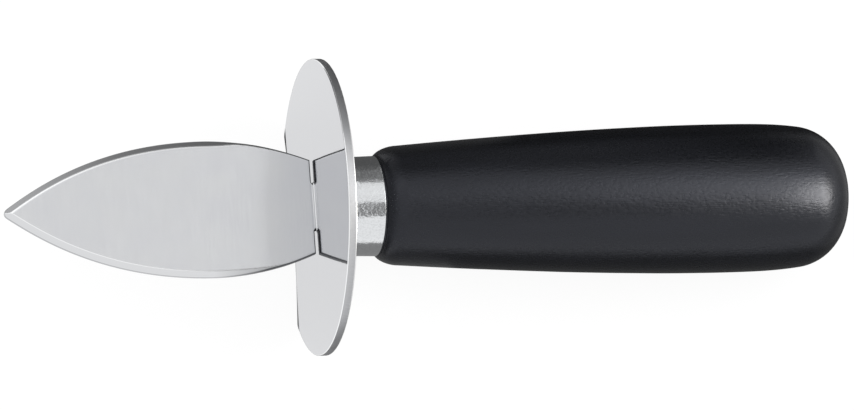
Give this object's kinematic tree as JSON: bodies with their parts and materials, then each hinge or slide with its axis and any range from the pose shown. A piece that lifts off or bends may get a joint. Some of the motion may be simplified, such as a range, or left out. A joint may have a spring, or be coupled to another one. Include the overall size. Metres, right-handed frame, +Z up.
{
  "type": "oyster knife",
  "caption": "Oyster knife with a short leaf-shaped blade, a round steel guard, a steel ferrule and a turned wooden handle.",
  "frame": {"origin": "on the knife's axis, in the guard's front face, where the blade leaves the guard", "axes": "+X along the axis from the blade to the butt, +Y across the blade's width, +Z up and square to the blade's flat; the guard's scallop is on the -Z side"},
  "size_m": [0.1629, 0.0556, 0.0484],
  "materials": {
    "blade_steel": "fine satin, ground bevels",
    "guard_steel": "polished sheet",
    "ferrule_steel": "bright drawn",
    "handle_wood": "black stain under satin lacquer",
    "adhesive": "cured resin"
  },
  "bodies": {
    "root": {"blade": "blade_steel", "guard": "guard_steel", "ferrule": "ferrule_steel", "handle": "handle_wood", "tang_adhesive": "adhesive"}
  },
  "joints": []
}
